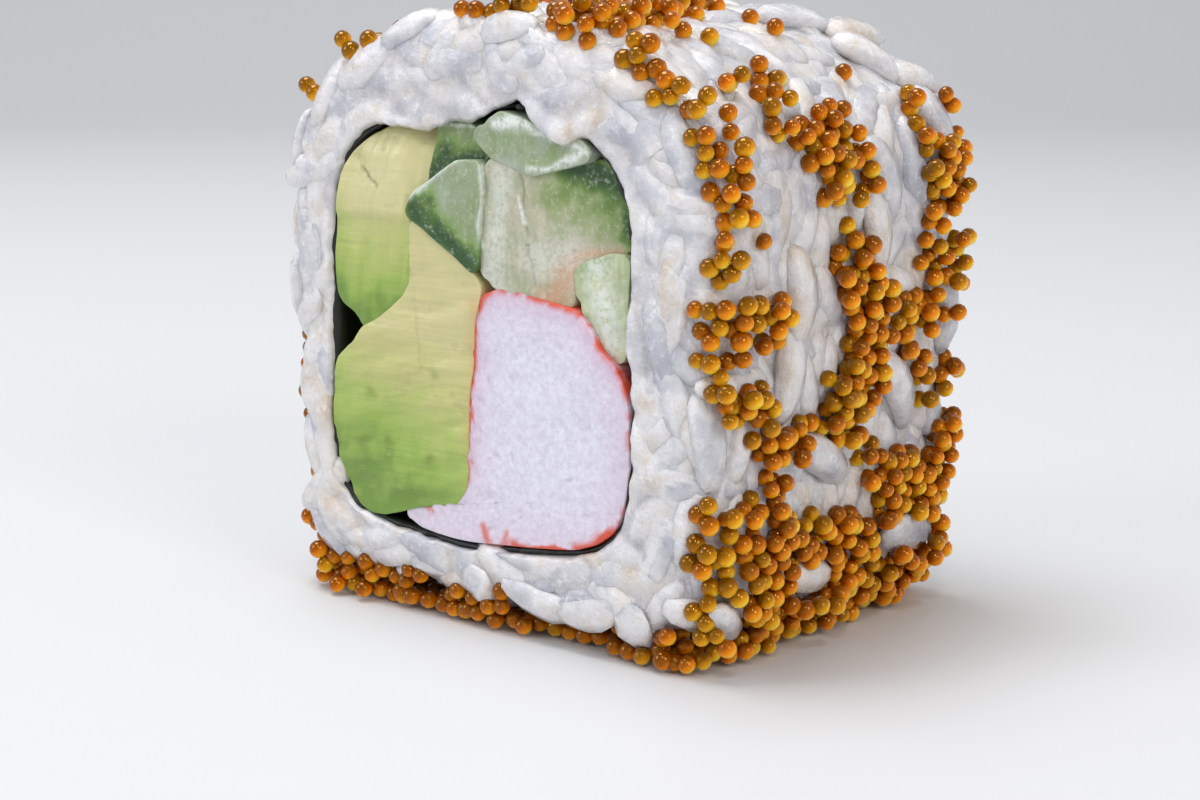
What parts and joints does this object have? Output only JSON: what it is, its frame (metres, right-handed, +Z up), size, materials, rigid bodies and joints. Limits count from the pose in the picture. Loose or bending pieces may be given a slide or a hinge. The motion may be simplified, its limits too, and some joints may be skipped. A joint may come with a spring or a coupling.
{
  "type": "uramaki roll",
  "caption": "Cut piece of inside-out sushi roll: rice outside with fish roe on it, nori inside, filled with avocado, cucumber and surimi.",
  "frame": {"origin": "on the surface that the roll rests on, under the middle of its box", "axes": "+Z up; the roll's axis lies along Y, with the front cut face looking along -Y; +X is to the right as that face is seen"},
  "size_m": [0.0446, 0.032, 0.047],
  "materials": {
    "rice": "moist, translucent white",
    "nori": "damp black-green",
    "avocado": "smooth, yellow to green",
    "cucumber": "wet, translucent green",
    "surimi": "fine fibrous white with a red skin",
    "roe": "clear amber beads"
  },
  "bodies": {
    "root": {"rice": "rice", "nori": "nori", "avocado_upper": "avocado", "avocado_lower": "avocado", "cucumber_left": "cucumber", "cucumber_back": "cucumber", "cucumber_top": "cucumber", "cucumber_main": "cucumber", "cucumber_right": "cucumber", "surimi": "surimi", "roe_bed": "roe", "roe_side": "roe"}
  },
  "joints": []
}
